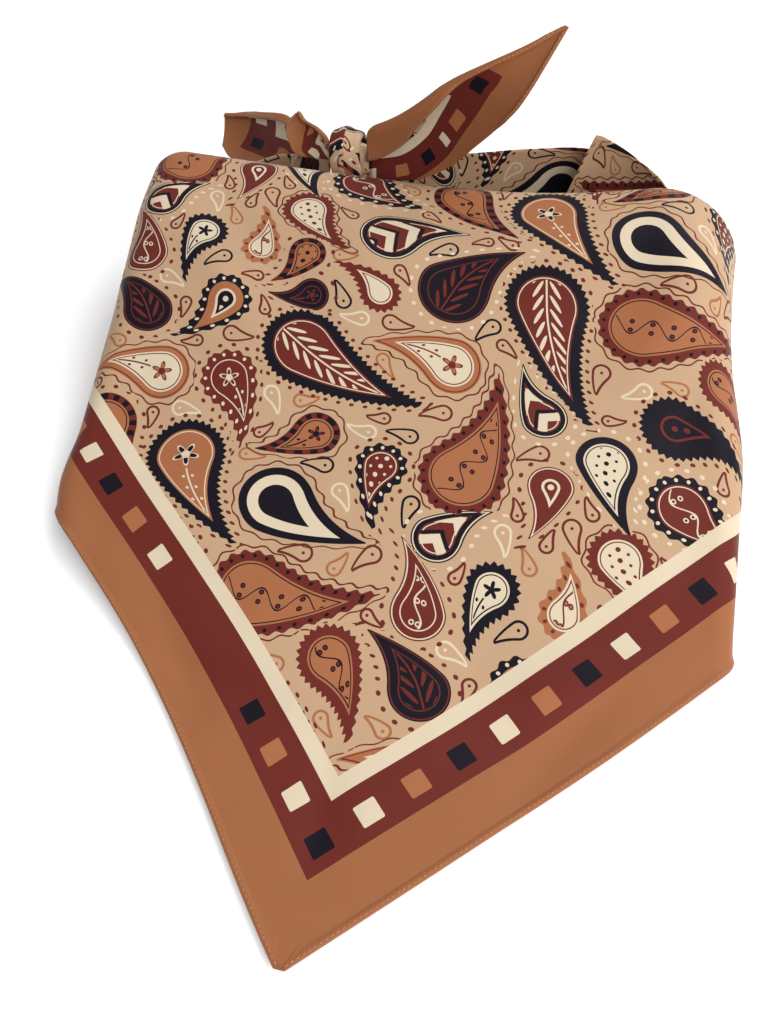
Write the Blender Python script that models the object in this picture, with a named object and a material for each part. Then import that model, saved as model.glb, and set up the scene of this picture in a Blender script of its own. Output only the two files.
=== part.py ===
"""A square silk scarf, folded on its diagonal, tied in a loop and laid down on a table.

The near corner of the square points to -Y and the neck loop is at +Y. The cloth's own ruler is its
printed border: places are counted in pitches, the spacing of the small squares printed in it.
"""
import math

import bmesh
import bpy
import numpy as np

# Driving sizes, in metres
SIDE = 0.53
PITCHES_IN_SIDE = 33
PITCH = SIDE / PITCHES_IN_SIDE
WALL = 0.0012
GAP = 0.0003

# The near corner of the square, in pitches from the origin in the middle of the scarf's base
NEAR_CORNER = (1.0, -11.75)

# Front panel, a row for each section across it, in pitches, and degrees for the lean.
# run: distance from the near corner along the cloth; x, y, z: the section's middle;
# rim: height where the cloth leaves the top; half: half width; turn: radius of the side's turn,
# each for the left and right side; lean: how far the side turns, 180 being tucked flat under;
# ease: share of its width left where a soft ripple takes up the left side
PANEL_COLUMNS = ("run", "x", "y", "z", "rim_l", "rim_r", "half_l", "half_r", "turn_l", "turn_r",
                 "lean", "ease_l")
PANEL_ROWS = (
    (0.0, 0.05, -0.22, 0.17, 0.17, 0.17, 7.3, 7.3, 0.42, 0.42, 180, 1.00),
    (2.5, 0.14, 2.35, 0.17, 0.17, 0.17, 7.3, 7.3, 0.42, 0.42, 180, 0.92),
    (5.0, 0.14, 4.85, 0.22, 0.20, 0.20, 7.3, 7.2, 0.42, 0.42, 180, 0.92),
    (7.0, 0.08, 6.82, 0.62, 0.62, 0.60, 7.5, 7.1, 0.45, 0.45, 180, 0.97),
    (8.5, 0.02, 8.28, 1.00, 1.02, 1.00, 7.7, 7.1, 0.48, 0.48, 178, 1.00),
    (10.0, -0.05, 9.72, 1.40, 1.34, 1.36, 7.8, 7.2, 0.58, 0.60, 160, 1.00),
    (12.0, -0.20, 11.6, 2.05, 2.00, 2.05, 7.8, 7.35, 0.75, 0.90, 130, 1.00),
    (14.5, -0.50, 13.9, 2.90, 2.85, 3.00, 7.75, 7.25, 0.90, 1.35, 104, 1.00),
    (16.5, -0.75, 15.8, 3.45, 3.50, 3.90, 7.7, 7.15, 0.90, 1.75, 92, 1.00),
    (18.0, -0.90, 17.2, 3.64, 3.75, 4.25, 7.65, 7.2, 0.90, 2.00, 90, 1.00),
)
NECK_RUN = 18.0
NECK_ROLL_RADIUS = 0.95
NECK_ROLL_SIDE_RADIUS = 0.40
NECK_ROLL_TURN = math.radians(125)
NECK_SEAM = 0.0005
TIP_RUN = 0.10

# Under layer: it keeps this far below the front panel and inside its turned sides
UNDER_DROP = 0.135
UNDER_INSET = 0.06
UNDER_SIDE_INSET = 0.9
UNDER_END_RUN = 16.8

# Walls round the back of the neck, a row for each section along them, in pitches.
# x, y, z: the foot; top_x, top_y, top_z: the upper edge; belly: how far the middle bows out
WALL_COLUMNS = ("x", "y", "z", "top_x", "top_y", "top_z", "belly")
RIGHT_SIDE_ROWS = (
    (5.00, 16.2, 0.04, 5.00, 16.2, 2.00, 0.10),
    (5.15, 17.6, 0.04, 5.15, 17.8, 2.10, 0.15),
    (5.00, 18.9, 0.04, 4.90, 19.2, 3.20, 0.25),
    (4.10, 19.6, 0.04, 3.95, 19.75, 3.75, 0.30),
    (2.60, 19.5, 0.04, 3.10, 19.85, 4.15, 0.20),
    (1.60, 19.2, 0.04, 2.80, 19.85, 4.22, 0.10),
)
RIGHT_BACK_ROWS = (
    (4.74, 19.68, 0.04, 4.31, 19.88, 3.20, 0.30),
    (2.90, 20.4, 0.04, 2.85, 20.25, 3.60, 0.30),
    (1.20, 20.1, 0.04, 1.25, 20.15, 3.50, 0.30),
    (-0.40, 19.7, 0.30, -0.30, 19.85, 3.35, 0.30),
    (-1.60, 19.3, 1.20, -1.50, 19.45, 3.40, 0.25),
    (-2.92, 18.90, 3.05, -2.92, 18.92, 3.60, 0.03),
)
LEFT_BACK_ROWS = (
    (-6.90, 16.2, 0.04, -6.90, 16.2, 1.75, 0.10),
    (-7.00, 17.6, 0.04, -7.00, 17.7, 1.75, 0.15),
    (-6.90, 18.9, 0.04, -6.85, 19.1, 2.35, 0.25),
    (-6.10, 19.4, 0.30, -6.10, 19.5, 2.70, 0.30),
    (-5.30, 19.2, 1.30, -5.25, 19.3, 3.00, 0.20),
    (-4.08, 18.66, 2.90, -4.08, 18.68, 3.22, 0.02),
)

# The knot: its middle, half sizes of the strands inside it and of the turn round them, and how far
# the top of that turn leans to the left
KNOT = (-3.50, 18.78, 3.38)
CORE_HALF = (0.54, 0.36, 0.44)
BLUNTNESS = 0.3
WRAP_BAND_HALF = 0.42
WRAP_LEAN = 0.10
WRAP_THICKNESS_HALF = 0.165

# Tails, a row for each section from the tip to the knot: first and last points across, in pitches,
# sag: how deep the leaf is cupped; flap: how much of it is folded over in front
FOLD_RADIUS = 0.14
TAIL_COLUMNS = ("x", "y", "z", "far_x", "far_y", "far_z", "sag", "flap")
RIGHT_TAIL_ROWS = (
    (1.76, 18.05, 7.48, 1.70, 18.08, 7.46, 0.00, 0.04),
    (1.46, 17.80, 6.87, 0.97, 17.95, 7.00, 0.06, 0.08),
    (1.17, 17.66, 6.27, 0.10, 17.85, 6.58, 0.18, 0.08),
    (0.86, 17.64, 5.70, -0.60, 17.92, 6.15, 0.30, 0.10),
    (0.45, 17.85, 5.13, -1.29, 18.05, 5.55, 0.38, 0.22),
    (-0.10, 18.18, 4.42, -1.90, 18.30, 5.00, 0.36, 0.38),
    (-0.80, 18.50, 3.60, -2.32, 18.48, 4.66, 0.26, 0.55),
    (-1.75, 18.64, 3.05, -2.68, 18.62, 4.40, 0.12, 0.62),
    (-2.94, 18.66, 2.95, -2.94, 18.74, 4.15, 0.03, 0.62),
)
LEFT_TAIL_ROWS = (
    (-8.75, 22.40, 1.25, -9.00, 23.50, 1.66, 0.05, 0.05),
    (-8.35, 21.90, 1.20, -8.60, 23.30, 1.74, 0.12, 0.08),
    (-7.75, 21.50, 1.25, -7.90, 23.00, 1.95, 0.20, 0.12),
    (-6.90, 20.90, 1.60, -7.15, 22.45, 2.26, 0.24, 0.15),
    (-6.00, 20.40, 1.90, -6.12, 21.60, 2.70, 0.20, 0.15),
    (-5.25, 20.05, 2.20, -5.30, 20.65, 2.75, 0.12, 0.10),
    (-4.06, 18.96, 3.02, -4.06, 19.00, 3.40, 0.02, 0.04),
)
LEFT_FOLD_ROWS = (
    (-5.32, 19.78, 3.94, -5.24, 19.80, 3.96, 0.00, 0.02),
    (-5.53, 19.58, 3.68, -5.00, 19.66, 3.74, 0.08, 0.04),
    (-5.42, 19.32, 3.38, -4.55, 19.38, 3.72, 0.12, 0.05),
    (-5.10, 19.08, 3.12, -4.25, 19.10, 3.66, 0.08, 0.04),
    (-4.10, 18.74, 3.28, -4.10, 18.80, 3.62, 0.01, 0.03),
)

# Colours of the print, linear
GROUND = (0.58, 0.39, 0.22, 1)
TAN = (0.40, 0.17, 0.08, 1)
RUST = (0.16, 0.03, 0.02, 1)


def clear_scene():
    for thing in list(bpy.data.objects):
        bpy.data.objects.remove(thing, do_unlink=True)


def silk(name, colour):
    """The sheen of silk twill in one printed colour."""
    material = bpy.data.materials.new(name)
    material.use_nodes = True
    shader = material.node_tree.nodes["Principled BSDF"]
    shader.inputs["Base Color"].default_value = colour
    shader.inputs["Roughness"].default_value = 0.55
    shader.inputs["Metallic"].default_value = 0.0
    material.diffuse_color = colour
    return material


def smooth_curve(knots, values, places):
    """A smooth curve through the values at the knots, read at the places."""
    slopes = np.gradient(values, knots)
    step = np.clip(np.searchsorted(knots, places, side="right") - 1, 0, len(knots) - 2)
    width = knots[step + 1] - knots[step]
    t = np.clip((places - knots[step]) / width, 0, 1)
    return ((1 + 2 * t) * (1 - t) ** 2 * values[step] + t * (1 - t) ** 2 * width * slopes[step]
            + t * t * (3 - 2 * t) * values[step + 1] + t * t * (t - 1) * width * slopes[step + 1])


def read_rows(columns, rows, places, knots=None):
    """Each column of a table as a smooth curve along its rows, read at the places."""
    table = np.array(rows, float)
    if knots is None:
        knots = table[:, 0]
    return {name: smooth_curve(knots, table[:, i], places) for i, name in enumerate(columns)}


def side_profile(girth, height, rim, half, turn, lean):
    """Sideways and downward distance and turned angle of a point, girth along the cloth from the
    section's middle: a gentle slope, a round turn at the side, then straight down or in."""
    flat = half - turn
    bend = 2 * (height - rim) / flat ** 2
    bend = np.where(np.abs(bend) < 1e-6, 1e-6, bend)
    lean = np.radians(lean)
    on_slope = np.minimum(girth, flat)
    angle = bend * on_slope
    across = np.sin(angle) / bend
    down = (1 - np.cos(angle)) / bend
    turned = np.clip(angle + (girth - flat) / turn, angle, np.maximum(lean, angle))
    turned = np.where(girth > flat, turned, angle)
    across = across + turn * (np.sin(turned) - np.sin(angle))
    down = down + turn * (np.cos(angle) - np.cos(turned))
    rest = np.maximum(girth - flat - turn * (lean - bend * flat), 0)
    return across + rest * np.cos(lean), down + rest * np.sin(lean), turned


def side_girth(row, side):
    """Length of cloth from the section's middle round the side to the table."""
    half, rim, turn = (row[name + "_" + side] for name in ("half", "rim", "turn"))
    lean = np.radians(row["lean"])
    flat = half - turn
    edge_angle = 2 * (row["z"] - rim) / flat
    arc = turn * (lean - edge_angle)
    left_to_drop = rim - WALL / PITCH / 2 - turn * (np.cos(edge_angle) - np.cos(lean))
    tuck = 0.5
    rest = np.where(row["lean"] > 170, tuck, left_to_drop / np.maximum(np.sin(lean), 0.17))
    return flat + arc + np.clip(rest, 0, 6)


def panel_points(run, share):
    """Points of the front panel. run: along the cloth; share: -1 to 1, left edge to right edge."""
    row = read_rows(PANEL_COLUMNS, PANEL_ROWS, run)
    points = {}
    for side, sign in (("l", -1), ("r", 1)):
        girth = np.minimum(run, side_girth(row, side)) * (1 - (1 - np.abs(share)) ** 1.2)
        across, down, angle = side_profile(girth, row["z"], row["rim_" + side], row["half_" + side],
                                           row["turn_" + side], row["lean"])
        across = across * (row["ease_l"] if side == "l" else 1)
        height = np.maximum(row["z"] - down, WALL / PITCH / 2)
        place = np.stack([row["x"] + sign * across, row["y"] + 0 * across, height], -1)
        inward = np.stack([-sign * np.sin(angle), 0 * angle, -np.cos(angle)], -1)
        points[sign] = (place, inward, angle)
    left = (share < 0)[..., None]
    place = np.where(left, points[-1][0], points[1][0])
    inward = np.where(left, points[-1][1], points[1][1])
    angle = np.where(share < 0, points[-1][2], points[1][2])
    return place, inward, angle


def front_panel_grid(rows_along=26, columns=39):
    """The panel's middle surface: up from the near corner to the crest of the neck roll."""
    runs = TIP_RUN + (NECK_RUN - TIP_RUN) * np.linspace(0, 1, rows_along)
    run_grid, share_grid = np.meshgrid(runs, np.linspace(-1, 1, columns), indexing="ij")
    return panel_points(run_grid, share_grid)[0]


def neck_roll_grid(rows_round=7, columns=39):
    """The middle surface of the roll: from its crest over and down inside the neck."""
    share = np.linspace(-1, 1, columns)
    edge, inward, angle = panel_points(np.full(columns, NECK_RUN), share)
    top_share = np.clip(np.cos(angle), 0, 1)
    radius = NECK_ROLL_SIDE_RADIUS + (NECK_ROLL_RADIUS - NECK_ROLL_SIDE_RADIUS) * top_share
    first_turn = NECK_SEAM / PITCH / radius
    roll = []
    for share_round in np.linspace(0, 1, rows_round):
        turn = (first_turn + (NECK_ROLL_TURN - first_turn) * share_round)[:, None]
        drop = inward * radius[:, None] * (1 - np.cos(turn))
        roll.append(edge + drop + radius[:, None] * np.sin(turn) * np.array((0, 1, 0)))
    roll = np.array(roll)
    roll[..., 2] = np.maximum(roll[..., 2], WALL / PITCH / 2)
    return roll


def under_layer_grid(rows_along=15, columns=17):
    """The inner half of the folded square: just under the front panel, flat on the table in front."""
    runs = 0.35 + (UNDER_END_RUN - 0.35) * np.linspace(0, 1, rows_along)
    share = np.linspace(-1, 1, columns)
    run_grid, share_grid = np.meshgrid(runs, share, indexing="ij")
    row = read_rows(PANEL_COLUMNS, PANEL_ROWS, run_grid)
    left = share_grid < 0
    half, turn, rim = (np.where(left, row[name + "_l"], row[name + "_r"])
                       for name in ("half", "turn", "rim"))
    girth = np.minimum(run_grid - UNDER_INSET, half - turn - UNDER_SIDE_INSET) * np.abs(share_grid)
    across, down, _ = side_profile(girth, row["z"], rim, half, turn, row["lean"])
    across = across * np.where(left, row["ease_l"], 1)
    height = np.maximum(row["z"] - down - UNDER_DROP, WALL / PITCH / 2)
    return np.stack([row["x"] + np.sign(share_grid) * across, row["y"], height], -1)


def wall_grid(rows, rows_along, rows_up):
    """A standing stretch of cloth between its foot and its upper edge, bowed in the middle."""
    knots = np.linspace(0, 1, len(rows))
    along = np.linspace(0, 1, rows_along)
    row = read_rows(WALL_COLUMNS, rows, along, knots)
    foot = np.stack([row["x"], row["y"], row["z"]], -1)
    top = np.stack([row["top_x"], row["top_y"], row["top_z"]], -1)
    heading = np.gradient(foot, axis=0)
    outward = np.stack([heading[:, 1], -heading[:, 0], 0 * along], -1)
    outward /= np.linalg.norm(outward, axis=1)[:, None]
    outward *= np.sign((outward * (foot - np.array([-1, 15, 0]))).sum(1))[:, None]
    up = np.linspace(0, 1, rows_up)[None, :, None]
    bow = 4 * up * (1 - up) * row["belly"][:, None, None] * outward[:, None, :]
    return foot[:, None, :] * (1 - up) + top[:, None, :] * up + bow


def tail_grid(rows, rows_along, columns, front):
    """A cupped leaf of cloth from its tip to the knot, its far edge folded over towards front."""
    knots = np.linspace(0, 1, len(rows))
    row = read_rows(TAIL_COLUMNS, rows, np.linspace(0, 1, rows_along), knots)
    near = np.stack([row["x"], row["y"], row["z"]], -1)
    far = np.stack([row["far_x"], row["far_y"], row["far_z"]], -1)
    middle = (near + far) / 2
    heading = np.gradient(middle, axis=0)
    cup = np.cross(heading, far - near)
    cup /= np.linalg.norm(cup, axis=1)[:, None]
    cup *= np.sign(cup @ np.array(front))[:, None]
    share = np.linspace(0, 1, columns)[None, :, None]
    leaf = near[:, None] * (1 - share) + far[:, None] * share
    leaf = leaf - 4 * share * (1 - share) * row["sag"][:, None, None] * cup[:, None]
    across = far - near
    across /= np.linalg.norm(across, axis=1)[:, None]
    radius = FOLD_RADIUS * np.clip(row["flap"] / FOLD_RADIUS, 0.4, 1)[:, None]
    flap = []
    for turn in np.radians((60, 120, 180)):
        flap.append(far + radius * math.sin(turn) * across + radius * (1 - math.cos(turn)) * cup)
    for reach in (0.5, 1.0):
        flap.append(far - (row["flap"] * reach)[:, None] * across + 2 * radius * cup)
    return np.concatenate([leaf, np.stack(flap, 1)], 1)


def spindle_grid(middle, half, rings=9, sides=16):
    """Rings of a rounded solid with blunt ends, lying along X."""
    grid = []
    for ring in np.linspace(0.12, math.pi - 0.12, rings):
        angles = np.linspace(0, 2 * math.pi, sides, endpoint=False)
        fullness = math.sin(ring) ** BLUNTNESS
        grid.append(np.stack([
            np.full(sides, middle[0] - half[0] * math.cos(ring)),
            middle[1] + half[1] * fullness * np.cos(angles),
            middle[2] + half[2] * fullness * np.sin(angles)], -1))
    return np.array(grid)


def wrap_grid(sides=20, band=10):
    """The turn of cloth round the strands: a closed band, fuller in its middle."""
    clear = GAP / PITCH
    grid = []
    for angle in np.linspace(0, 2 * math.pi, sides, endpoint=False):
        ring = []
        for about in np.linspace(0, 2 * math.pi, band, endpoint=False):
            out = WRAP_THICKNESS_HALF * (1 + math.cos(about)) + clear
            ring.append((KNOT[0] + WRAP_BAND_HALF * math.sin(about) - WRAP_LEAN * math.sin(angle),
                         KNOT[1] + (CORE_HALF[1] + out) * math.cos(angle),
                         KNOT[2] + (CORE_HALF[2] + out) * math.sin(angle)))
        grid.append(ring)
    return np.array(grid)


def place(grid):
    """Pitches from the near corner to metres from the origin."""
    return (grid + np.array([NEAR_CORNER[0], NEAR_CORNER[1], 0])) * PITCH


def add_object(name, verts, faces, material):
    mesh = bpy.data.meshes.new(name)
    mesh.from_pydata([tuple(v) for v in verts], [], faces)
    work = bmesh.new()
    work.from_mesh(mesh)
    bmesh.ops.recalc_face_normals(work, faces=work.faces)
    work.to_mesh(mesh)
    work.free()
    mesh.shade_smooth()
    mesh.materials.append(material)
    thing = bpy.data.objects.new(name, mesh)
    bpy.context.scene.collection.objects.link(thing)
    return thing


def sheet(name, grid, material, wall=WALL):
    """A wall of cloth: the grid moved out by half its thickness on each side, closed round its edge."""
    middle = place(grid)
    normal = np.cross(np.gradient(middle, axis=0), np.gradient(middle, axis=1))
    normal /= np.maximum(np.linalg.norm(normal, axis=2, keepdims=True), 1e-12)
    upper = middle + normal * wall / 2
    lower = middle - normal * wall / 2
    upper[..., 2] = np.maximum(upper[..., 2], 0)
    lower[..., 2] = np.maximum(lower[..., 2], 0)
    n, m = middle.shape[:2]
    verts = np.concatenate([upper.reshape(-1, 3), lower.reshape(-1, 3)])
    faces = []
    for i in range(n - 1):
        for j in range(m - 1):
            a, b, c, d = i * m + j, i * m + j + 1, (i + 1) * m + j + 1, (i + 1) * m + j
            faces.append((a, b, c, d))
            faces.append((a + n * m, d + n * m, c + n * m, b + n * m))
    edge = ([j for j in range(m)] + [i * m + m - 1 for i in range(1, n)]
            + [(n - 1) * m + j for j in range(m - 2, -1, -1)] + [i * m for i in range(n - 2, 0, -1)])
    for a, b in zip(edge, edge[1:] + edge[:1]):
        faces.append((b, a, a + n * m, b + n * m))
    return add_object(name, verts, faces, material)


def tube(name, grid, material, closed_along):
    """A solid through rings of points; its ends are capped unless the rings close on themselves."""
    rings, sides = grid.shape[:2]
    faces = []
    for i in range(rings if closed_along else rings - 1):
        for j in range(sides):
            a, b = i * sides + j, i * sides + (j + 1) % sides
            c, d = ((i + 1) % rings) * sides + (j + 1) % sides, ((i + 1) % rings) * sides + j
            faces.append((a, b, c, d))
    if not closed_along:
        faces.append(tuple(range(sides))[::-1])
        faces.append(tuple((rings - 1) * sides + j for j in range(sides)))
    return add_object(name, place(grid).reshape(-1, 3), faces, material)


def main():
    clear_scene()
    ground, tan, rust = silk("silk_ground", GROUND), silk("silk_tan", TAN), silk("silk_rust", RUST)
    sheet("front_panel", front_panel_grid(), ground)
    sheet("neck_roll", neck_roll_grid(), ground)
    sheet("under_layer", under_layer_grid(), ground)
    sheet("right_side_stretch", wall_grid(RIGHT_SIDE_ROWS, 13, 7), ground)
    sheet("right_back_stretch", wall_grid(RIGHT_BACK_ROWS, 14, 7), ground)
    sheet("left_back_stretch", wall_grid(LEFT_BACK_ROWS, 13, 6), ground)
    tube("knot_core", spindle_grid(KNOT, CORE_HALF), rust, False)
    tube("knot_wrap", wrap_grid(), ground, True)
    sheet("right_tail", tail_grid(RIGHT_TAIL_ROWS, 15, 8, (0, -1, 0)), tan)
    sheet("left_tail", tail_grid(LEFT_TAIL_ROWS, 12, 7, (0, 0, 1)), tan)
    sheet("left_tail_fold", tail_grid(LEFT_FOLD_ROWS, 7, 5, (0, 0, 1)), tan)


main()
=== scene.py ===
import math

import bpy
import numpy as np
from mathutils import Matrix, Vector


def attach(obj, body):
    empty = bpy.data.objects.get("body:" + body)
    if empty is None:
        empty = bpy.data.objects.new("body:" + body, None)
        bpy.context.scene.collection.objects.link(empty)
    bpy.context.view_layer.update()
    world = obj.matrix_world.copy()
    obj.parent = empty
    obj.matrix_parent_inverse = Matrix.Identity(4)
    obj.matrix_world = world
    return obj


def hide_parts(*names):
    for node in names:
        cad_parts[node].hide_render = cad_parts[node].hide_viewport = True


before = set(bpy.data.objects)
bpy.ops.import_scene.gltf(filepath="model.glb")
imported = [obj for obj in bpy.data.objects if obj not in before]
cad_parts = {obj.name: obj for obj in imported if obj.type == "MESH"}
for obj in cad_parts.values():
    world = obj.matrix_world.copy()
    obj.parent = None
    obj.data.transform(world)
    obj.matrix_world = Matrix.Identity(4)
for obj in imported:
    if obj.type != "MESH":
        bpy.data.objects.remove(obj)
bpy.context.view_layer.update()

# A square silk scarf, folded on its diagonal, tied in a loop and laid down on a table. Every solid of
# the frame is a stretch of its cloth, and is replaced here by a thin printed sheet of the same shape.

# The square and its print. A pitch is the spacing of the small squares printed in the border,
# and all places on the cloth and round it are counted in pitches from the square's near corner.
SIDE = 0.53
PITCHES_IN_SIDE = 33
PITCH = SIDE / PITCHES_IN_SIDE
NEAR_CORNER = np.array((1.0, -11.75, 0.0))
SOLID_WALL = 0.0012 / PITCH
SILK_THICKNESS = 0.0005 / PITCH
HEM_WIDTH = 0.0021 / PITCH
HEM_RISE = 0.00042 / PITCH
HEM_INSET = 0.0009 / PITCH
STITCH_SPACING = 0.0017 / PITCH
STITCH_HALF_LENGTH = 0.00058 / PITCH
STITCH_HALF_WIDTH = 0.00026 / PITCH
STITCH_HALF_HEIGHT = 0.00095 / PITCH
# Rings of a stitch: how far along its half length each lies, and how full it is there
STITCH_PROFILE = ((-1.0, 0.5), (-0.7, 1.0), (0.7, 1.0), (1.0, 0.5))
STITCH_SIDES = 6

# Front panel, a row for each section across it: run is the distance along the cloth from the near
# corner; x, y, z the section's middle; rim where the cloth leaves the top; half the half width; turn
# the radius of the side's turn, each for the left and right; lean how far the side turns, in degrees;
# ease the share of its width left where a soft ripple takes up the left side
PANEL_COLUMNS = ("run", "x", "y", "z", "rim_l", "rim_r", "half_l", "half_r", "turn_l", "turn_r",
                 "lean", "ease_l")
PANEL_ROWS = (
    (0.0, 0.05, -0.22, 0.17, 0.17, 0.17, 7.3, 7.3, 0.42, 0.42, 180, 1.00),
    (2.5, 0.14, 2.35, 0.17, 0.17, 0.17, 7.3, 7.3, 0.42, 0.42, 180, 0.92),
    (5.0, 0.14, 4.85, 0.22, 0.20, 0.20, 7.3, 7.2, 0.42, 0.42, 180, 0.92),
    (7.0, 0.08, 6.82, 0.62, 0.62, 0.60, 7.5, 7.1, 0.45, 0.45, 180, 0.97),
    (8.5, 0.02, 8.28, 1.00, 1.02, 1.00, 7.7, 7.1, 0.48, 0.48, 178, 1.00),
    (10.0, -0.05, 9.72, 1.40, 1.34, 1.36, 7.8, 7.2, 0.58, 0.60, 160, 1.00),
    (12.0, -0.20, 11.6, 2.05, 2.00, 2.05, 7.8, 7.35, 0.75, 0.90, 130, 1.00),
    (14.5, -0.50, 13.9, 2.90, 2.85, 3.00, 7.75, 7.25, 0.90, 1.35, 104, 1.00),
    (16.5, -0.75, 15.8, 3.45, 3.50, 3.90, 7.7, 7.15, 0.90, 1.75, 92, 1.00),
    (18.0, -0.90, 17.2, 3.64, 3.75, 4.25, 7.65, 7.2, 0.90, 2.00, 90, 1.00),
)
NECK_RUN = 18.0
NECK_ROLL_RADIUS = 0.95
NECK_ROLL_SIDE_RADIUS = 0.40
NECK_ROLL_TURN = math.radians(125)
TIP_RUN = 0.10
TUCK = 0.5
UNDER_DROP = 0.135
UNDER_INSET = 0.06
UNDER_SIDE_INSET = 0.9
UNDER_START_RUN = 0.35
UNDER_END_RUN = 16.8
UNDER_HEM_RUN = 0.02

# Walls round the back of the neck, a row for each section along them: x, y, z the foot, top_ the
# upper edge, belly how far the middle bows out
WALL_COLUMNS = ("x", "y", "z", "top_x", "top_y", "top_z", "belly")
RIGHT_SIDE_ROWS = (
    (5.00, 16.2, 0.04, 5.00, 16.2, 2.00, 0.10),
    (5.15, 17.6, 0.04, 5.15, 17.8, 2.10, 0.15),
    (5.00, 18.9, 0.04, 4.90, 19.2, 3.20, 0.25),
    (4.10, 19.6, 0.04, 3.95, 19.75, 3.75, 0.30),
    (2.60, 19.5, 0.04, 3.10, 19.85, 4.15, 0.20),
    (1.60, 19.2, 0.04, 2.80, 19.85, 4.22, 0.10),
)
RIGHT_BACK_ROWS = (
    (4.74, 19.68, 0.04, 4.31, 19.88, 3.20, 0.30),
    (2.90, 20.4, 0.04, 2.85, 20.25, 3.60, 0.30),
    (1.20, 20.1, 0.04, 1.25, 20.15, 3.50, 0.30),
    (-0.40, 19.7, 0.30, -0.30, 19.85, 3.35, 0.30),
    (-1.60, 19.3, 1.20, -1.50, 19.45, 3.40, 0.25),
    (-2.92, 18.90, 3.05, -2.92, 18.92, 3.60, 0.03),
)
LEFT_BACK_ROWS = (
    (-6.90, 16.2, 0.04, -6.90, 16.2, 1.75, 0.10),
    (-7.00, 17.6, 0.04, -7.00, 17.7, 1.75, 0.15),
    (-6.90, 18.9, 0.04, -6.85, 19.1, 2.35, 0.25),
    (-6.10, 19.4, 0.30, -6.10, 19.5, 2.70, 0.30),
    (-5.30, 19.2, 1.30, -5.25, 19.3, 3.00, 0.20),
    (-4.08, 18.66, 2.90, -4.08, 18.68, 3.22, 0.02),
)

# The knot: its middle, half sizes of the strands inside it and of the turn round them, how far the
# top of that turn leans to the left, the depth and number of its pleats, and those of the strands
KNOT = (-3.50, 18.78, 3.38)
CORE_HALF = (0.54, 0.36, 0.44)
BLUNTNESS = 0.3
WRAP_BAND_HALF = 0.42
WRAP_LEAN = 0.10
WRAP_THICKNESS_HALF = 0.165
WRAP_CLEARANCE = 0.02
PLEAT_DEPTH = 0.030
PLEATS = 1.6
STRAND_DEPTH = 0.05
STRANDS = 5

# Tails, a row for each section from the tip to the knot: first and last points across, sag how deep
# the leaf is cupped, flap how much of it is folded over in front
FOLD_RADIUS = 0.14
TAIL_COLUMNS = ("x", "y", "z", "far_x", "far_y", "far_z", "sag", "flap")
RIGHT_TAIL_ROWS = (
    (1.76, 18.05, 7.48, 1.70, 18.08, 7.46, 0.00, 0.04),
    (1.46, 17.80, 6.87, 0.97, 17.95, 7.00, 0.06, 0.08),
    (1.17, 17.66, 6.27, 0.10, 17.85, 6.58, 0.18, 0.08),
    (0.86, 17.64, 5.70, -0.60, 17.92, 6.15, 0.30, 0.10),
    (0.45, 17.85, 5.13, -1.29, 18.05, 5.55, 0.38, 0.22),
    (-0.10, 18.18, 4.42, -1.90, 18.30, 5.00, 0.36, 0.38),
    (-0.80, 18.50, 3.60, -2.32, 18.48, 4.66, 0.26, 0.55),
    (-1.75, 18.64, 3.05, -2.68, 18.62, 4.40, 0.12, 0.62),
    (-2.94, 18.66, 2.95, -2.94, 18.74, 4.15, 0.03, 0.62),
)
LEFT_TAIL_ROWS = (
    (-8.75, 22.40, 1.25, -9.00, 23.50, 1.66, 0.05, 0.05),
    (-8.35, 21.90, 1.20, -8.60, 23.30, 1.74, 0.12, 0.08),
    (-7.75, 21.50, 1.25, -7.90, 23.00, 1.95, 0.20, 0.12),
    (-6.90, 20.90, 1.60, -7.15, 22.45, 2.26, 0.24, 0.15),
    (-6.00, 20.40, 1.90, -6.12, 21.60, 2.70, 0.20, 0.15),
    (-5.25, 20.05, 2.20, -5.30, 20.65, 2.75, 0.12, 0.10),
    (-4.06, 18.96, 3.02, -4.06, 19.00, 3.40, 0.02, 0.04),
)
LEFT_FOLD_ROWS = (
    (-5.32, 19.78, 3.94, -5.24, 19.80, 3.96, 0.00, 0.02),
    (-5.53, 19.58, 3.68, -5.00, 19.66, 3.74, 0.08, 0.04),
    (-5.42, 19.32, 3.38, -4.55, 19.38, 3.72, 0.12, 0.05),
    (-5.10, 19.08, 3.12, -4.25, 19.10, 3.66, 0.08, 0.04),
    (-4.10, 18.74, 3.28, -4.10, 18.80, 3.62, 0.01, 0.03),
)

# How the border lies on each leaf: the distance from the tip along the leaf's near edge, then on the
# cloth itself the distance from the tip and that of the near edge from the hem. LEAF_STRETCH says how
# many times further apart places lie on the cloth than across the leaf
RIGHT_TAIL_PRINT = ((0.0, 0.00, 0.00), (2.4, 1.50, 0.00), (3.3, 2.10, 0.27), (4.0, 2.60, 0.47),
                    (4.6, 3.70, 0.66), (5.3, 4.50, 0.85), (8.0, 7.30, 1.60))
LEFT_TAIL_PRINT = ((0.0, 0.00, 0.28), (0.6, 1.05, 0.30), (1.3, 1.50, 0.34), (2.0, 1.90, 0.46),
                   (3.0, 2.50, 0.70), (4.7, 3.60, 1.70), (7.0, 5.00, 2.60))
LEFT_FOLD_PRINT = ((0.0, 1.90, 0.00), (0.6, 2.40, 0.00), (1.0, 2.80, 0.35), (1.6, 3.30, 1.00),
                   (1.9, 3.60, 1.25), (2.4, 4.00, 2.05))
LEAF_STRETCH = {"right": 1.37, "left": 1.40, "fold": 1.90}

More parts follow.
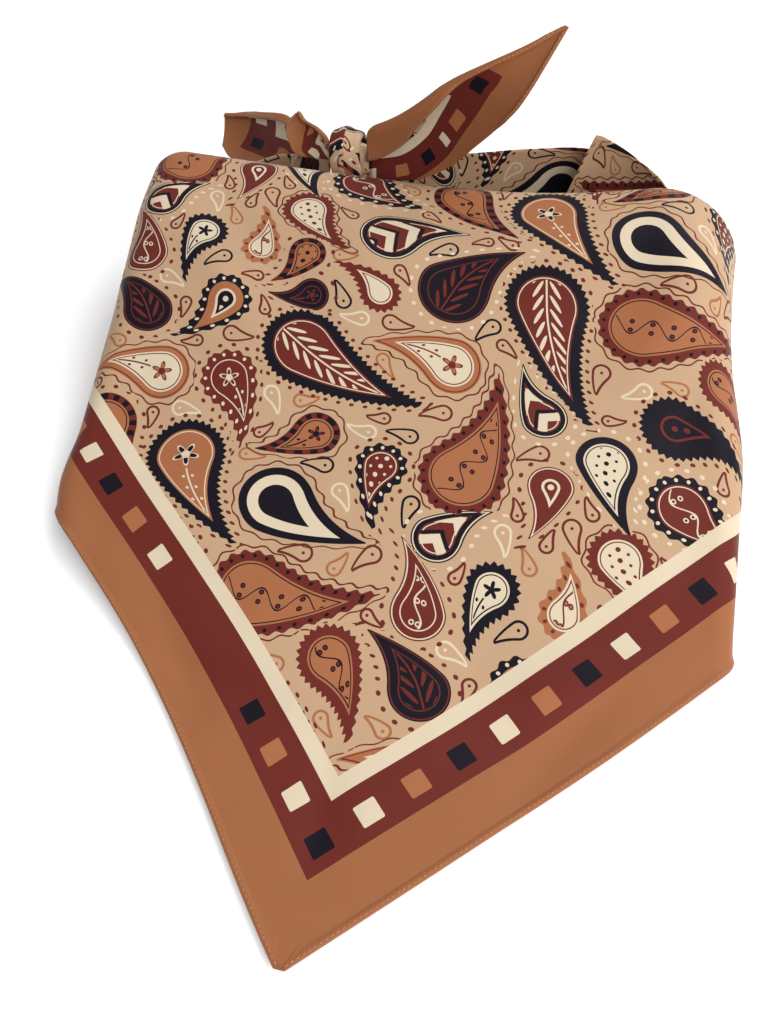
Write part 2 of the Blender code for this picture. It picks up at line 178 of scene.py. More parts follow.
# Soft creases pressed into the front panel: from and to on the cloth, as run and the distance
# to the right of its middle, then the crease's half width and its height, below 0 for a trough
CREASE_COLUMNS = ("run", "side", "end_run", "end_side", "width", "height")
PANEL_CREASES = (
    (17.2, -6.2, 13.2, -2.0, 0.55, 0.10),
    (16.2, -6.6, 12.6, -3.6, 0.45, -0.08),
    (14.6, -7.0, 11.0, -4.6, 0.50, 0.07),
    (17.4, 5.6, 12.4, 3.0, 0.60, 0.12),
    (17.0, 6.8, 12.6, 4.6, 0.50, -0.10),
    (14.8, 6.9, 10.6, 5.4, 0.45, 0.08),
    (12.4, -6.8, 8.4, -5.2, 0.60, 0.08),
    (12.0, 6.6, 8.2, 5.8, 0.55, 0.08),
    (17.8, -3.2, 14.2, -0.6, 0.45, -0.05),
    (17.9, 1.0, 14.0, 0.4, 0.60, 0.05),
    (9.6, -2.0, 6.0, -3.4, 0.80, 0.06),
    (8.4, 1.8, 4.4, 2.4, 0.70, 0.05),
    (4.2, -0.4, 1.2, 0.1, 0.40, 0.05),
    (6.8, -5.4, 3.6, -3.0, 0.45, 0.08),
    (6.6, 5.2, 3.4, 2.9, 0.40, 0.08),
    (9.5, -8.5, 13.6, 7.5, 1.10, 0.21),
    (14.0, -8.0, 17.2, 7.5, 1.00, -0.19),
    (5.8, -1.5, 7.8, 7.5, 0.80, 0.16),
    (9.4, -1.0, 10.6, 7.0, 0.90, -0.14),
    (7.6, -7.0, 6.4, -2.6, 0.50, 0.10),
    (5.0, -4.8, 4.4, -1.4, 0.40, 0.07),
    (3.0, -2.6, 2.6, 0.6, 0.35, 0.05),
    (7.2, 6.8, 5.8, 3.0, 0.45, -0.08),
    (5.2, 4.8, 4.2, 1.6, 0.40, 0.06),
)


def smooth_curve(knots, values, places):
    """A smooth curve through the values at the knots, read at the places."""
    slopes = np.gradient(values, knots)
    step = np.clip(np.searchsorted(knots, places, side="right") - 1, 0, len(knots) - 2)
    width = knots[step + 1] - knots[step]
    t = np.clip((places - knots[step]) / width, 0, 1)
    return ((1 + 2 * t) * (1 - t) ** 2 * values[step] + t * (1 - t) ** 2 * width * slopes[step]
            + t * t * (3 - 2 * t) * values[step + 1] + t * t * (t - 1) * width * slopes[step + 1])


def read_rows(columns, rows, places, knots=None):
    """Each column of a table as a smooth curve along its rows, read at the places."""
    table = np.array(rows, float)
    if knots is None:
        knots = table[:, 0]
    return {name: smooth_curve(knots, table[:, i], places) for i, name in enumerate(columns)}


def unit(vectors):
    """The same directions with a length of 1."""
    return vectors / np.maximum(np.linalg.norm(vectors, axis=-1, keepdims=True), 1e-12)


def grid_normals(grid):
    """The way out of a surface given as rows of points."""
    return unit(np.cross(np.gradient(grid, axis=0), np.gradient(grid, axis=1)))


def side_profile(girth, height, rim, half, turn, lean):
    """Sideways and downward distance and turned angle of a point, girth along the cloth from the
    section's middle: a gentle slope, a round turn at the side, then straight down or in."""
    flat = half - turn
    bend = 2 * (height - rim) / flat ** 2
    bend = np.where(np.abs(bend) < 1e-6, 1e-6, bend)
    lean = np.radians(lean)
    on_slope = np.minimum(girth, flat)
    angle = bend * on_slope
    across = np.sin(angle) / bend
    down = (1 - np.cos(angle)) / bend
    turned = np.clip(angle + (girth - flat) / turn, angle, np.maximum(lean, angle))
    turned = np.where(girth > flat, turned, angle)
    across = across + turn * (np.sin(turned) - np.sin(angle))
    down = down + turn * (np.cos(angle) - np.cos(turned))
    rest = np.maximum(girth - flat - turn * (lean - bend * flat), 0)
    return across + rest * np.cos(lean), down + rest * np.sin(lean), turned


def side_girth(row, side):
    """Length of cloth from the section's middle round the side to the table."""
    half, rim, turn = (row[name + "_" + side] for name in ("half", "rim", "turn"))
    lean = np.radians(row["lean"])
    flat = half - turn
    edge_angle = 2 * (row["z"] - rim) / flat
    arc = turn * (lean - edge_angle)
    left_to_drop = rim - SOLID_WALL / 2 - turn * (np.cos(edge_angle) - np.cos(lean))
    rest = np.where(row["lean"] > 170, TUCK, left_to_drop / np.maximum(np.sin(lean), 0.17))
    return flat + arc + np.clip(rest, 0, 6)


def panel_points(run, share):
    """Points of the front panel, and how far along the cloth each is from the section's middle.
    share goes from -1 at the left edge to 1 at the right one."""
    row = read_rows(PANEL_COLUMNS, PANEL_ROWS, run)
    sides = {}
    for side, sign in (("l", -1), ("r", 1)):
        girth = np.minimum(run, side_girth(row, side)) * (1 - (1 - np.abs(share)) ** 1.2)
        across, down, angle = side_profile(girth, row["z"], row["rim_" + side], row["half_" + side],
                                           row["turn_" + side], row["lean"])
        across = across * (row["ease_l"] if side == "l" else 1)
        height = np.maximum(row["z"] - down, SOLID_WALL / 2)
        point = np.stack([row["x"] + sign * across, row["y"] + 0 * across, height], -1)
        inward = np.stack([-sign * np.sin(angle), 0 * angle, -np.cos(angle)], -1)
        sides[sign] = (point, inward, angle, sign * girth)
    left = share < 0
    return tuple(np.where(left[..., None] if a.ndim > left.ndim else left, a, b)
                 for a, b in zip(sides[-1], sides[1]))


def crease_height(run, side, creases):
    """How far the soft creases push the cloth out, at places given as run and side."""
    height = np.zeros_like(run)
    for crease in creases:
        values = dict(zip(CREASE_COLUMNS, crease))
        start = np.array((values["run"], values["side"]))
        line = np.array((values["end_run"], values["end_side"])) - start
        reach = np.linalg.norm(line)
        along = ((run - start[0]) * line[0] + (side - start[1]) * line[1]) / reach ** 2
        off = ((run - start[0]) * line[1] - (side - start[1]) * line[0]) / reach
        fade = np.clip(along * (1 - along) * 4, 0, 1) ** 0.8
        height += values["height"] * fade * np.exp(-(off / values["width"]) ** 2)
    return height


def on_cloth(run, side):
    """Distances from the square's left and right near hems, from run and side."""
    return np.stack([(run + side) / math.sqrt(2), (run - side) / math.sqrt(2)], -1)


def front_panel(rows_along=150, rows_round=30, columns=181):
    """The panel's middle surface and its place on the cloth: up from the near corner, over the roll."""
    share = np.linspace(-1, 1, columns)
    runs = TIP_RUN + (NECK_RUN - TIP_RUN) * np.linspace(0, 1, rows_along) ** 0.9
    run, share_grid = np.meshgrid(runs, share, indexing="ij")
    body, _, _, side = panel_points(run, share_grid)
    edge, inward, angle, edge_side = panel_points(np.full(columns, NECK_RUN), share)
    top_share = np.clip(np.cos(angle), 0, 1)
    radius = NECK_ROLL_SIDE_RADIUS + (NECK_ROLL_RADIUS - NECK_ROLL_SIDE_RADIUS) * top_share
    turns = np.linspace(0, NECK_ROLL_TURN, rows_round + 1)[1:]
    roll = np.array([edge + inward * (radius * (1 - math.cos(turn)))[:, None]
                     + np.outer(radius * math.sin(turn), (0, 1, 0)) for turn in turns])
    roll[..., 2] = np.maximum(roll[..., 2], SOLID_WALL / 2)
    roll_run = NECK_RUN + turns[:, None] * radius
    grid = np.concatenate([body, roll])
    run = np.concatenate([run, roll_run])
    side = np.concatenate([side, np.repeat(edge_side[None], rows_round, 0)])
    normal = grid_normals(grid)
    lift = crease_height(run, side, PANEL_CREASES)
    grid = grid + normal * lift[..., None]
    return grid, on_cloth(run, side)


def under_layer(rows_along=90, columns=91):
    """The inner half of the folded square: just under the front panel, flat on the table in front."""
    runs = UNDER_START_RUN + (UNDER_END_RUN - UNDER_START_RUN) * np.linspace(0, 1, rows_along)
    run, share = np.meshgrid(runs, np.linspace(-1, 1, columns), indexing="ij")
    row = read_rows(PANEL_COLUMNS, PANEL_ROWS, run)
    left = share < 0
    half, turn, rim = (np.where(left, row[name + "_l"], row[name + "_r"])
                       for name in ("half", "turn", "rim"))
    girth = np.minimum(run - UNDER_INSET, half - turn - UNDER_SIDE_INSET) * np.abs(share)
    across, down, _ = side_profile(girth, row["z"], rim, half, turn, row["lean"])
    across = across * np.where(left, row["ease_l"], 1)
    grid = np.stack([row["x"] + np.sign(share) * across, row["y"], row["z"] - down - UNDER_DROP], -1)
    lift = crease_height(run, np.sign(share) * girth, PANEL_CREASES)
    grid = grid + grid_normals(grid) * lift[..., None]
    grid[..., 2] = np.maximum(grid[..., 2], SILK_THICKNESS / 2 + HEM_RISE)
    run = run - UNDER_START_RUN + UNDER_HEM_RUN
    return grid, PITCHES_IN_SIDE - on_cloth(run, np.sign(share) * girth)


def lengths_along(grid, axis):
    """How far each point lies from the first one, measured over the cloth."""
    steps = np.linalg.norm(np.diff(grid, axis=axis), axis=-1)
    first = np.zeros_like(np.take(steps, [0], axis))
    return np.cumsum(np.concatenate([first, steps], axis), axis)


def neck_wall(rows, start, rows_along, rows_up):
    """A standing stretch of cloth between its foot and its upper edge, bowed in the middle, and its
    place on the cloth, whose start is given as run and side of the first foot."""
    knots = np.linspace(0, 1, len(rows))
    along = np.linspace(0, 1, rows_along)
    row = read_rows(WALL_COLUMNS, rows, along, knots)
    foot = np.stack([row["x"], row["y"], row["z"]], -1)
    top = np.stack([row["top_x"], row["top_y"], row["top_z"]], -1)
    heading = np.gradient(foot, axis=0)
    outward = unit(np.stack([heading[:, 1], -heading[:, 0], 0 * along], -1))
    outward *= np.sign((outward * (foot - np.array([-1, 15, 0]))).sum(1))[:, None]
    up = np.linspace(0, 1, rows_up)[None, :, None]
    bow = 4 * up * (1 - up) * row["belly"][:, None, None] * outward[:, None, :]
    grid = foot[:, None, :] * (1 - up) + top[:, None, :] * up + bow
    middle = lengths_along(grid[:, [rows_up // 2]], 0)
    run = start[0] + lengths_along(grid, 1)
    side = start[1] + np.sign(start[1]) * np.repeat(middle, rows_up, 1)
    return grid, on_cloth(run, side)


def leaf_place(grid, near, places, stretch):
    """Where a leaf lies on the cloth: the distances from its tip's hem and from its near hem."""
    heading = unit(np.gradient(near, axis=0))[:, None]
    from_near = grid - near[:, None]
    ahead = (from_near * heading).sum(-1)
    off = np.linalg.norm(from_near - ahead[..., None] * heading, axis=-1)
    along = lengths_along(near[:, None], 0) + ahead
    along_rows, tip_rows, hem_rows = np.array(places).T
    from_tip = np.interp(along, along_rows, tip_rows)
    from_hem = np.interp(along, along_rows, hem_rows) + stretch * off
    return np.stack([from_tip, from_hem], -1)


def tail(rows, rows_along, columns, front, places, stretch):
    """A cupped leaf of cloth from its tip to the knot, its far edge folded over towards front. Returns
    the middle surface, its place on the cloth, that of the folded part, and its first column."""
    knots = np.linspace(0, 1, len(rows))
    row = read_rows(TAIL_COLUMNS, rows, np.linspace(0, 1, rows_along), knots)
    near = np.stack([row["x"], row["y"], row["z"]], -1)
    far = np.stack([row["far_x"], row["far_y"], row["far_z"]], -1)
    heading = np.gradient((near + far) / 2, axis=0)
    cup = unit(np.cross(heading, far - near))
    cup *= np.sign(cup @ np.array(front))[:, None]
    share = np.linspace(0, 1, columns)[None, :, None]
    leaf = near[:, None] * (1 - share) + far[:, None] * share
    leaf = leaf - 4 * share * (1 - share) * row["sag"][:, None, None] * cup[:, None]
    across = unit(far - near)
    pointed = np.clip(np.linspace(0, 14, rows_along), 0.1, 1)
    radius = FOLD_RADIUS * (np.clip(row["flap"] / FOLD_RADIUS, 0.4, 1) * pointed)[:, None]
    flap = [far + radius * math.sin(turn) * across + radius * (1 - math.cos(turn)) * cup
            for turn in np.linspace(0, math.pi, 8)[1:]]
    flap += [far - (row["flap"] * reach)[:, None] * across + 2 * radius * cup
             for reach in np.linspace(0, 1, 9)[1:]]
    grid = np.concatenate([leaf, np.stack(flap, 1)], 1)
    place = leaf_place(grid, near, places, stretch)
    over = lengths_along(grid, 1)
    flap_place = np.stack([over[:, -1:] - over, place[..., 0] + 1.0], -1)
    return grid, place, flap_place, columns - 1


def knot_core(rings=31, sides=40):
    """Rings of a rounded solid with blunt ends, lying along X."""
    grid = []
    angles = np.linspace(0, 2 * math.pi, sides + 1)
    for ring in np.linspace(0.12, math.pi - 0.12, rings):
        fullness = math.sin(ring) ** BLUNTNESS
        pleat = 1 + STRAND_DEPTH * np.cos(STRANDS * angles)
        grid.append(np.stack([np.full(sides + 1, KNOT[0] - CORE_HALF[0] * math.cos(ring)),
                              KNOT[1] + CORE_HALF[1] * fullness * pleat * np.cos(angles),
                              KNOT[2] + CORE_HALF[2] * fullness * pleat * np.sin(angles)], -1))
    return np.array(grid)


def knot_wrap(around=48, across=28):
    """The turn of cloth round the strands: a closed band, fuller in its middle, softly pleated."""
    grid = []
    for angle in np.linspace(0, 2 * math.pi, around + 1):
        about = np.linspace(0, 2 * math.pi, across + 1)
        outside = np.clip(np.cos(about), 0, 1)
        pleat = PLEAT_DEPTH * outside * np.cos(PLEATS * math.pi * np.sin(about) + 0.8 * math.sin(angle))
        out = WRAP_THICKNESS_HALF * (1 + np.cos(about)) + WRAP_CLEARANCE + pleat
        grid.append(np.stack([KNOT[0] + WRAP_BAND_HALF * np.sin(about) - WRAP_LEAN * math.sin(angle),
                              KNOT[1] + (CORE_HALF[1] + out) * math.cos(angle),
                              KNOT[2] + (CORE_HALF[2] + out) * math.sin(angle)], -1))
    return np.array(grid)


# The repeat of the print. Each big drop: radius of its head, length from the head's middle to its
# point, bend of its tail, how its rim and its filling are drawn, what goes round it, and its colours
TILE = PITCHES_IN_SIDE / 3
TIP_RADIUS = 0.03
CLEARANCE = 0.30
SPRIG_CLEARANCE = 0.15
TRIES = 6000
SPRIG_TRIES = 300
PRINT_SEED = 11
DROP_COLUMNS = ("head", "length", "bend", "rim", "filling", "halo", "colours")
RIMS = {"plain": 0, "scalloped": 1, "striped": 2, "toothed": 3}
FILLINGS = {"plain": 0, "nested": 1, "feather": 2, "dotted": 3, "flower": 4, "chevrons": 5, "vine": 6}
HALOS = {"none": 0, "dots": 1, "line": 2, "pale_dots": 3}
BIG_DROPS = (
    (0.92, 2.85, 0.11, "toothed", "feather", "dots", "rust_on_navy"),
    (0.92, 2.55, 0.15, "scalloped", "vine", "line", "tan_leaf"),
    (0.86, 2.20, 0.19, "toothed", "flower", "dots", "navy_tan"),
    (0.82, 1.95, 0.25, "plain", "nested", "line", "navy_cream"),
    (0.84, 1.80, -0.28, "plain", "feather", "pale_dots", "navy_rust"),
    (0.74, 1.85, 0.25, "striped", "vine", "dots", "rust_navy"),
    (0.76, 1.70, -0.31, "plain", "chevrons", "none", "cream_navy"),
    (0.74, 1.60, 0.31, "scalloped", "vine", "pale_dots", "rust_on_navy"),
    (0.70, 1.60, -0.34, "toothed", "nested", "dots", "navy_rust"),
    (0.68, 1.70, 0.26, "plain", "flower", "line", "tan_cream"),
    (0.66, 1.50, -0.35, "scalloped", "flower", "dots", "rust_cream"),
    (0.66, 1.45, 0.39, "striped", "dotted", "pale_dots", "navy_cream"),
    (0.64, 1.55, -0.32, "toothed", "vine", "none", "tan_leaf"),
    (0.62, 1.40, 0.39, "toothed", "dotted", "line", "cream_rust"),
    (0.62, 1.45, 0.32, "plain", "feather", "dots", "navy_rust"),
    (0.60, 1.35, -0.41, "scalloped", "nested", "none", "navy_tan"),
    (0.58, 1.40, 0.41, "plain", "vine", "dots", "rust_cream"),
    (0.56, 1.25, -0.40, "striped", "flower", "line", "rust_navy"),
    (0.56, 1.30, 0.43, "scalloped", "dotted", "dots", "rust_on_navy"),
    (0.54, 1.15, -0.47, "plain", "chevrons", "pale_dots", "cream_navy"),
    (0.52, 1.20, 0.48, "toothed", "flower", "none", "navy_cream"),
    (0.50, 1.10, -0.47, "plain", "nested", "dots", "rust_cream"),
    (0.48, 1.10, 0.53, "scalloped", "vine", "none", "tan_cream"),
    (0.46, 1.00, -0.56, "striped", "dotted", "dots", "rust_navy"),
    (0.44, 1.00, 0.60, "toothed", "plain", "none", "cream_rust"),
    (0.42, 0.90, -0.62, "plain", "flower", "dots", "navy_rust"),
)
SPRIG_COLUMNS = ("head", "length", "bend", "paint")
SPRIGS = 16 * ((0.19, 0.50, 0.5, "rust"), (0.17, 0.46, -0.6, "cream"), (0.18, 0.50, 0.4, "navy"),
               (0.14, 0.36, -0.5, "rust"), (0.15, 0.40, 0.6, "tan"), (0.13, 0.34, 0.7, "rust"))


def paint(red, green, blue):
    """A colour given as 0 to 255, as light."""
    share = np.array((red, green, blue)) / 255
    light = np.where(share <= 0.04045, share / 12.92, ((share + 0.055) / 1.055) ** 2.4)
    return (*light, 1.0)


PAINTS = {
    "ground": paint(169, 139, 110),
    "border": paint(138, 87, 56),
    "tan": paint(147, 92, 61),
    "rust": paint(93, 36, 30),
    "navy": paint(20, 16, 25),
    "cream": paint(191, 176, 152),
}

# The border: how far from the hem each band ends, where the small squares lie and their half size and
# rounding, their colours in turn, and the stretch of one side that has none
OUTER_TO = 1.05
RUST_TO = 2.05
CREAM_TO = 2.38
SQUARES_IN = 1.5
SQUARE_HALF = 0.18
SQUARE_ROUNDING = 0.035
SQUARE_PAINTS = ("navy", "cream", "tan")
BARE_FROM = 5.0
BARE_TO = 8.0

# Rim, filling and marks of each colouring
COLOURINGS = {
    "rust_on_navy": ("navy", "rust", "cream"),
    "navy_cream": ("navy", "cream", "navy"),
    "navy_rust": ("navy", "navy", "rust"),
    "rust_navy": ("rust", "tan", "navy"),
    "cream_navy": ("navy", "rust", "cream"),
    "rust_cream": ("rust", "rust", "cream"),
    "tan_leaf": ("rust", "tan", "navy"),
    "tan_cream": ("tan", "cream", "rust"),
    "cream_rust": ("rust", "cream", "rust"),
    "navy_tan": ("navy", "tan", "cream"),
}


def drop_distance(x, y, head, length, bend):
    """How far places lie outside a drop with its head at the origin and its point towards +X."""
    y = np.abs(y - bend * np.maximum(x, 0) ** 2)
    lean = (head - TIP_RADIUS) / length
    flank = np.sqrt(1 - lean ** 2)
    along = flank * x - lean * y
    to_head = np.hypot(x, y) - head
    to_tip = np.hypot(x - length, y) - TIP_RADIUS
    to_side = flank * y + lean * x - head
    return np.where(along < 0, to_head, np.where(along > flank * length, to_tip, to_side))


def turned(x, y, angle):
    """Places as seen from a drop that is turned by the angle."""
    return x * np.cos(angle) + y * np.sin(angle), y * np.cos(angle) - x * np.sin(angle)


def within_tile(offset):
    """The same offset to the nearest repeat of the print."""
    return (offset + TILE / 2) % TILE - TILE / 2


def laid_out(designs, columns, taken, chance, tries, clearance):
    """Places each design in the tile, close to the drops already there but clear of them."""
    placed = []
    for design in designs:
        drop = dict(zip(columns, design))
        a, b = chance.uniform(0, TILE, (2, tries, 1))
        angle = chance.uniform(0, 2 * math.pi, (tries, 1))
        x = np.linspace(0, drop["length"], 7)
        y = drop["bend"] * x ** 2
        girth = drop["head"] + (TIP_RADIUS - drop["head"]) * x / drop["length"]
        out_a = a + x * np.cos(angle) - y * np.sin(angle)
        out_b = b + x * np.sin(angle) + y * np.cos(angle)
        gaps = np.full((tries, 1), clearance)
        for other in taken + placed:
            seen = turned(within_tile(out_a - other["a"]), within_tile(out_b - other["b"]), other["angle"])
            gap = drop_distance(*seen, other["head"], other["length"], other["bend"]) - girth
            gaps = np.concatenate([gaps, gap.min(1, keepdims=True)], 1)
        gaps = np.sort(gaps[:, 1:], 1) if gaps.shape[1] > 1 else gaps
        looseness = np.where(gaps[:, 0] >= clearance, gaps[:, :4].mean(1), np.inf)
        chosen = looseness.argmin()
        if looseness[chosen] < np.inf:
            placed.append(dict(drop, a=a[chosen, 0], b=b[chosen, 0], angle=angle[chosen, 0]))
    return placed


chance = np.random.default_rng(PRINT_SEED)
big_drops = laid_out(2 * BIG_DROPS, DROP_COLUMNS, [], chance, TRIES, CLEARANCE)
sprigs = laid_out(SPRIGS, SPRIG_COLUMNS, big_drops, chance, SPRIG_TRIES, SPRIG_CLEARANCE)


def nearest_drops(corners, drops):
    """For faces given as corners on the cloth: which drop each lies nearest to, and its corners as
    seen from that drop."""
    middle = corners.mean(1)
    best = np.full(len(corners), np.inf)
    chosen = np.zeros(len(corners), int)
    seen = np.zeros_like(corners)
    for index, drop in enumerate(drops):
        offset_a = within_tile(middle[:, 0] - drop["a"])
        offset_b = within_tile(middle[:, 1] - drop["b"])
        x, y = turned(offset_a, offset_b, drop["angle"])
        distance = drop_distance(x, y, drop["head"], drop["length"], drop["bend"])
        nearer = distance < best
        best = np.where(nearer, distance, best)
        chosen[nearer] = index
        local_a = offset_a[:, None] + corners[..., 0] - middle[:, None, 0]
        local_b = offset_b[:, None] + corners[..., 1] - middle[:, None, 1]
        x, y = turned(local_a, local_b, drop["angle"])
        seen[nearer] = np.stack([x, y], -1)[nearer]
    return chosen, seen


# Where the two faces of a sheet and its thin rim lie on its second flat map, OFBake
MAP_MARGIN = 0.005
MAP_FACE = (0.485, 0.97)
MAP_INNER_START = (0.51, MAP_MARGIN)
MAP_RIM = (0.985, 0.995)


def add_map(mesh, name, values):
    """A flat map of the mesh, from a place for every corner of its faces."""
    layer = mesh.uv_layers.new(name=name)
    layer.data.foreach_set("uv", values.astype(np.float32).ravel())


def add_corner_values(mesh, name, kind, field, values):
    """Values on the corners of the faces, the same all over a face."""
    attribute = mesh.attributes.new(name, kind, "CORNER")
    attribute.data.foreach_set(field, np.repeat(values, 4, 0).astype(np.float32).ravel())


def add_print(mesh, corners):
    """Gives every face its place on the cloth, and the drop and the sprig that it may show."""
    add_map(mesh, "Cloth", corners)
    chosen, seen = nearest_drops(corners, big_drops)
    add_map(mesh, "Drop", seen)
    form = np.array([(d["head"], d["length"], d["bend"]) for d in big_drops])
    look = np.array([(RIMS[d["rim"]], FILLINGS[d["filling"]], HALOS[d["halo"]]) for d in big_drops])
    add_corner_values(mesh, "drop_form", "FLOAT_VECTOR", "vector", form[chosen])
    add_corner_values(mesh, "drop_look", "FLOAT_VECTOR", "vector", look[chosen])
    for index, name in enumerate(("rim_colour", "filling_colour", "mark_colour")):
        colours = np.array([PAINTS[COLOURINGS[d["colours"]][index]] for d in big_drops])
        add_corner_values(mesh, name, "FLOAT_COLOR", "color", colours[chosen])
    chosen, seen = nearest_drops(corners, sprigs)
    add_map(mesh, "Sprig", seen)
    form = np.array([(d["head"], d["length"], d["bend"]) for d in sprigs])
    colours = np.array([PAINTS[d["paint"]] for d in sprigs])
    add_corner_values(mesh, "sprig_form", "FLOAT_VECTOR", "vector", form[chosen])
    add_corner_values(mesh, "sprig_colour", "FLOAT_COLOR", "color", colours[chosen])


def add_piece(name, points, faces, material):
    """A smooth mesh piece from points in pitches."""
    mesh = bpy.data.meshes.new(name)
    mesh.from_pydata(((points + NEAR_CORNER) * PITCH).tolist(), [], [tuple(face) for face in faces])
    mesh.shade_smooth()
    mesh.materials.append(material)
    piece = bpy.data.objects.new(name, mesh)
    bpy.context.scene.collection.objects.link(piece)
    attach(piece, "root")
    return piece


def from_edge(place):
    """The distance to the nearest hem of the square."""
    return np.minimum(place, PITCHES_IN_SIDE - place).min(-1)


def hem_rise(distance):
    """Extra half thickness of the rolled hem, from the distance to the cloth's edge."""
    share = np.clip(distance / HEM_WIDTH, 0, 1)
    return HEM_RISE * np.sqrt(np.clip(1 - (2 * share - 1) ** 2, 0, 1))


def cloth(name, grid, place, material, nodes, fold=None, flap_place=None):
    """A thin shell of printed silk on a middle surface. place is where its points lie on the square;
    from the fold's column on, flap_place says it instead. Returns the piece and its way out."""
    rows, columns = grid.shape[:2]
    normal = grid_normals(grid)
    edge = from_edge(place)
    if flap_place is not None:
        edge[:, fold:] = from_edge(flap_place)[:, fold:]
    half = SILK_THICKNESS / 2 + hem_rise(edge)
    outer = grid + normal * half[..., None]
    inner = grid - normal * half[..., None]
    for side in (outer, inner):
        side[..., 2] = np.maximum(side[..., 2], 0)
    points = np.concatenate([outer.reshape(-1, 3), inner.reshape(-1, 3)])
    i, j = np.meshgrid(np.arange(rows - 1), np.arange(columns - 1), indexing="ij")
    i, j = i.ravel(), j.ravel()
    first = i * columns + j
    outer_faces = np.stack([first, first + columns, first + columns + 1, first + 1], 1)
    inner_faces = outer_faces[:, ::-1] + rows * columns
    round_edge = np.concatenate([np.arange(columns), np.arange(1, rows) * columns + columns - 1,
                                 (rows - 1) * columns + np.arange(columns - 2, -1, -1),
                                 np.arange(rows - 2, 0, -1) * columns])
    following = np.roll(round_edge, -1)
    rim_faces = np.stack([round_edge, following, following + rows * columns,
                          round_edge + rows * columns], 1)
    faces = np.concatenate([outer_faces, inner_faces, rim_faces])
    piece = add_piece(name, points, faces, material)
    flat_place = np.tile(place.reshape(-1, 2), (2, 1))
    corners = flat_place[faces]
    if flap_place is not None:
        flat_flap = np.tile(flap_place.reshape(-1, 2), (2, 1))
        on_flap = np.concatenate([j >= fold, j >= fold, np.zeros(len(rim_faces), bool)])
        corners[on_flap] = flat_flap[faces[on_flap]]
    add_print(piece.data, corners)
    share = np.stack(np.meshgrid(np.linspace(0, 1, rows), np.linspace(0, 1, columns), indexing="ij"), -1)
    share = share.reshape(-1, 2)
    bake_outer = share[outer_faces][..., ::-1] * MAP_FACE + MAP_MARGIN
    bake_inner = share[outer_faces[:, ::-1]][..., ::-1] * MAP_FACE + MAP_INNER_START
    step = np.arange(len(rim_faces)) / len(rim_faces)
    low, high = MAP_RIM
    ahead = step + 1 / len(rim_faces)
    bake_rim = np.stack([np.stack([step, 0 * step + low], -1), np.stack([ahead, 0 * step + low], -1),
                         np.stack([ahead, 0 * step + high], -1), np.stack([step, 0 * step + high], -1)], 1)
    add_map(piece.data, "OFBake", np.concatenate([bake_outer, bake_inner, bake_rim]))
    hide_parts(*nodes)
    return piece, normal


# The finish of the silk and of the thread
TWILL_SPACING = 0.0006 / PITCH
TWILL_BUMP = 0.10
TWILL_DEPTH = 0.00008
SILK_ROUGHNESS = 0.46
SILK_SHEEN = 0.03
SILK_SHEEN_ROUGHNESS = 0.35
SILK_GLOSS = 0.07
THREAD_ROUGHNESS = 0.6
THREAD_LIGHT = paint(176, 124, 84)
THREAD_DARK = paint(122, 76, 50)


class Signal:
    """A number that varies over the surface, in a node tree. It is worked with like a number."""

    def __init__(self, tree, socket):
        self.tree = tree
        self.socket = socket

    def work(self, operation, *others):
        node = self.tree.nodes.new("ShaderNodeMath")
        node.operation = operation
        for slot, value in zip(node.inputs, (self, *others)):
            if isinstance(value, Signal):
                self.tree.links.new(value.socket, slot)
            else:
                slot.default_value = value
        return Signal(self.tree, node.outputs[0])

    def __add__(self, other):
        return self.work("ADD", other)

    def __radd__(self, other):
        return self.work("ADD", other)

    def __sub__(self, other):
        return self.work("SUBTRACT", other)

    def __rsub__(self, other):
        return self.work("MULTIPLY", -1) + other

    def __mul__(self, other):
        return self.work("MULTIPLY", other)

    def __rmul__(self, other):
        return self.work("MULTIPLY", other)

    def __truediv__(self, other):
        return self.work("DIVIDE", other)

    def __neg__(self):
        return self.work("MULTIPLY", -1)

    def __abs__(self):
        return self.work("ABSOLUTE")

    def __lt__(self, other):
        return self.work("LESS_THAN", other)

    def __gt__(self, other):
        return self.work("GREATER_THAN", other)

    def at_least(self, other):
        return self.work("MAXIMUM", other)

    def at_most(self, other):
        return self.work("MINIMUM", other)

    def root(self):
        return self.at_least(0).work("SQRT")

    def is_kind(self, number):
        return self.work("COMPARE", number, 0.5)

    def repeated(self, spacing):
        """The distance to the nearest of a row of places that far apart, either side of 0."""
        return self.work("WRAP", spacing / 2, -spacing / 2)


def length(x, y):
    return (x * x + y * y).root()


def either(first, second):
    return first.at_least(second)


def blend(mask, inside, outside):
    """inside where the mask is 1, outside where it is 0."""
    return outside + mask * (inside - outside)


def painted(mask, over, under):
    """A colour over another one where the mask is 1. Colours are sockets or fixed values."""
    node = mask.tree.nodes.new("ShaderNodeMix")
    node.data_type = "RGBA"
    mask.tree.links.new(mask.socket, node.inputs["Factor"])
    for name, value in (("A", under), ("B", over)):
        slot = [s for s in node.inputs if s.name == name and s.type == "RGBA"][0]
        if isinstance(value, bpy.types.NodeSocket):
            mask.tree.links.new(value, slot)
        else:
            slot.default_value = value
    return [s for s in node.outputs if s.type == "RGBA"][0]


def new_group(name, inputs, outputs):
    """A shader node group with named sockets, and its input node and output node."""
    tree = bpy.data.node_groups.new(name, "ShaderNodeTree")
    for socket, kind in inputs:
        tree.interface.new_socket(socket, in_out="INPUT", socket_type="NodeSocket" + kind)
    for socket, kind in outputs:
        tree.interface.new_socket(socket, in_out="OUTPUT", socket_type="NodeSocket" + kind)
    return tree, tree.nodes.new("NodeGroupInput"), tree.nodes.new("NodeGroupOutput")


def split_up(tree, socket):
    """The three numbers of a vector."""
    node = tree.nodes.new("ShaderNodeSeparateXYZ")
    tree.links.new(socket, node.inputs[0])
    return [Signal(tree, output) for output in node.outputs]


